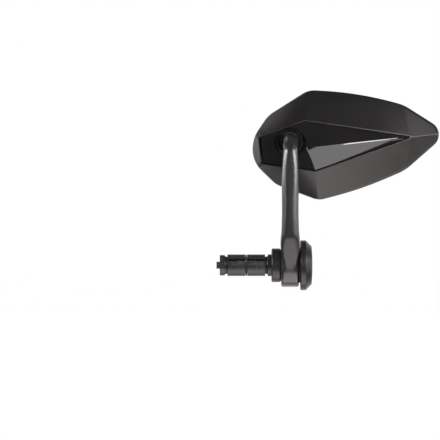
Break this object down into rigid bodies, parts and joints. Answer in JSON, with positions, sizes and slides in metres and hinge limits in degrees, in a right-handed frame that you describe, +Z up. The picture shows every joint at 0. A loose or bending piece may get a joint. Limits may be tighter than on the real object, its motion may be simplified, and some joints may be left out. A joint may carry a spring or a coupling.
{
  "type": "motorcycle bar-end mirror",
  "caption": "Faceted black bar-end mirror: head on a ball joint, curved cast stem and an expanding clamp for the end of a handlebar.",
  "frame": {"origin": "centre of the handlebar's end face, where the clamp's collar seats", "axes": "+X outward along the handlebar, +Z up, +Y towards the rider, the way the glass faces"},
  "size_m": [0.1784, 0.0479, 0.1603],
  "materials": {
    "black_aluminium": "satin black powder coat on cast aluminium",
    "black_turned": "satin black anodised turned aluminium",
    "housing_black": "satin black moulded plastic",
    "cover_black": "gloss black moulded plastic",
    "mirror_face": "silvered convex glass",
    "black_rubber": "matte black rubber",
    "zinc_steel": "zinc plated steel",
    "black_steel": "black oxide steel",
    "liner_black": "low-friction moulded plastic",
    "carrier_plastic": "moulded black plastic",
    "foam_tape": "foam adhesive tape"
  },
  "bodies": {
    "bar_end": {"pivot_bush": "black_turned", "inner_friction_washer": "black_rubber", "outer_friction_washer": "black_rubber", "bar_end_cap": "black_turned", "lock_washer": "zinc_steel"},
    "bolt": {"clamp_bolt": "black_steel"},
    "nut": {"cone_nut": "black_steel"},
    "jaw_1": {"expander_jaw_1": "black_steel"},
    "jaw_2": {"expander_jaw_2": "black_steel"},
    "jaw_3": {"expander_jaw_3": "black_steel"},
    "ring": {"jaw_ring": "black_rubber"},
    "stem": {"stem": "black_aluminium", "ball_stud": "black_steel"},
    "front_liner": {"front_ball_liner": "liner_black"},
    "rear_liner": {"rear_ball_liner": "liner_black"},
    "head": {"housing": "housing_black", "gloss_cover": "cover_black", "clamp_plate": "zinc_steel", "disc_springs": "zinc_steel", "clamp_screws": "zinc_steel", "glass_carrier": "carrier_plastic", "adhesive_pad": "foam_tape", "mirror_glass": "mirror_face", "rim_seal": "black_rubber"}
  },
  "joints": [
    {"name": "stem_swing", "type": "hinge", "parent": "bar_end", "child": "stem", "pos_m": [0.0147, 0, 0], "axis": [1, 0, 0], "continuous": true},
    {"name": "ball_pan", "type": "hinge", "parent": "stem", "child": "front_liner", "pos_m": [0.0147, 0.003, 0.099], "axis": [0, 0, 1], "range_deg": [-12, 12]},
    {"name": "ball_roll", "type": "hinge", "parent": "front_liner", "child": "rear_liner", "pos_m": [0.0147, 0.003, 0.099], "axis": [0, 1, 0], "range_deg": [-30, 30]},
    {"name": "ball_tilt", "type": "hinge", "parent": "rear_liner", "child": "head", "pos_m": [0.0147, 0.003, 0.099], "axis": [1, 0, 0], "range_deg": [-12, 12]},
    {"name": "bolt_turn", "type": "hinge", "parent": "bar_end", "child": "bolt", "pos_m": [0, 0, 0], "axis": [-1, 0, 0], "range_deg": [0, 1080]},
    {"name": "nut_draw", "type": "slide", "parent": "bar_end", "child": "nut", "axis": [1, 0, 0], "range_m": [0, 0.003]},
    {"name": "ring_shift", "type": "slide", "parent": "bar_end", "child": "ring", "axis": [1, 0, 0], "range_m": [0, 0.0015]},
    {"name": "jaw_spread_1", "type": "slide", "parent": "bar_end", "child": "jaw_1", "axis": [0.9662, 0, 0.2577], "range_m": [0, 0.00155]},
    {"name": "jaw_spread_2", "type": "slide", "parent": "bar_end", "child": "jaw_2", "axis": [0.9662, -0.2231, -0.1288], "range_m": [0, 0.00155]},
    {"name": "jaw_spread_3", "type": "slide", "parent": "bar_end", "child": "jaw_3", "axis": [0.9662, 0.2231, -0.1288], "range_m": [0, 0.00155]}
  ],
  "couplings": [
    {"joint": "nut_draw", "follows": "bolt_turn", "m_per_rad": 0.00015915},
    {"joint": "ring_shift", "follows": "bolt_turn", "m_per_rad": 0.000079577},
    {"joint": "jaw_spread_1", "follows": "bolt_turn", "m_per_rad": 0.000082358},
    {"joint": "jaw_spread_2", "follows": "bolt_turn", "m_per_rad": 0.000082358},
    {"joint": "jaw_spread_3", "follows": "bolt_turn", "m_per_rad": 0.000082358}
  ]
}
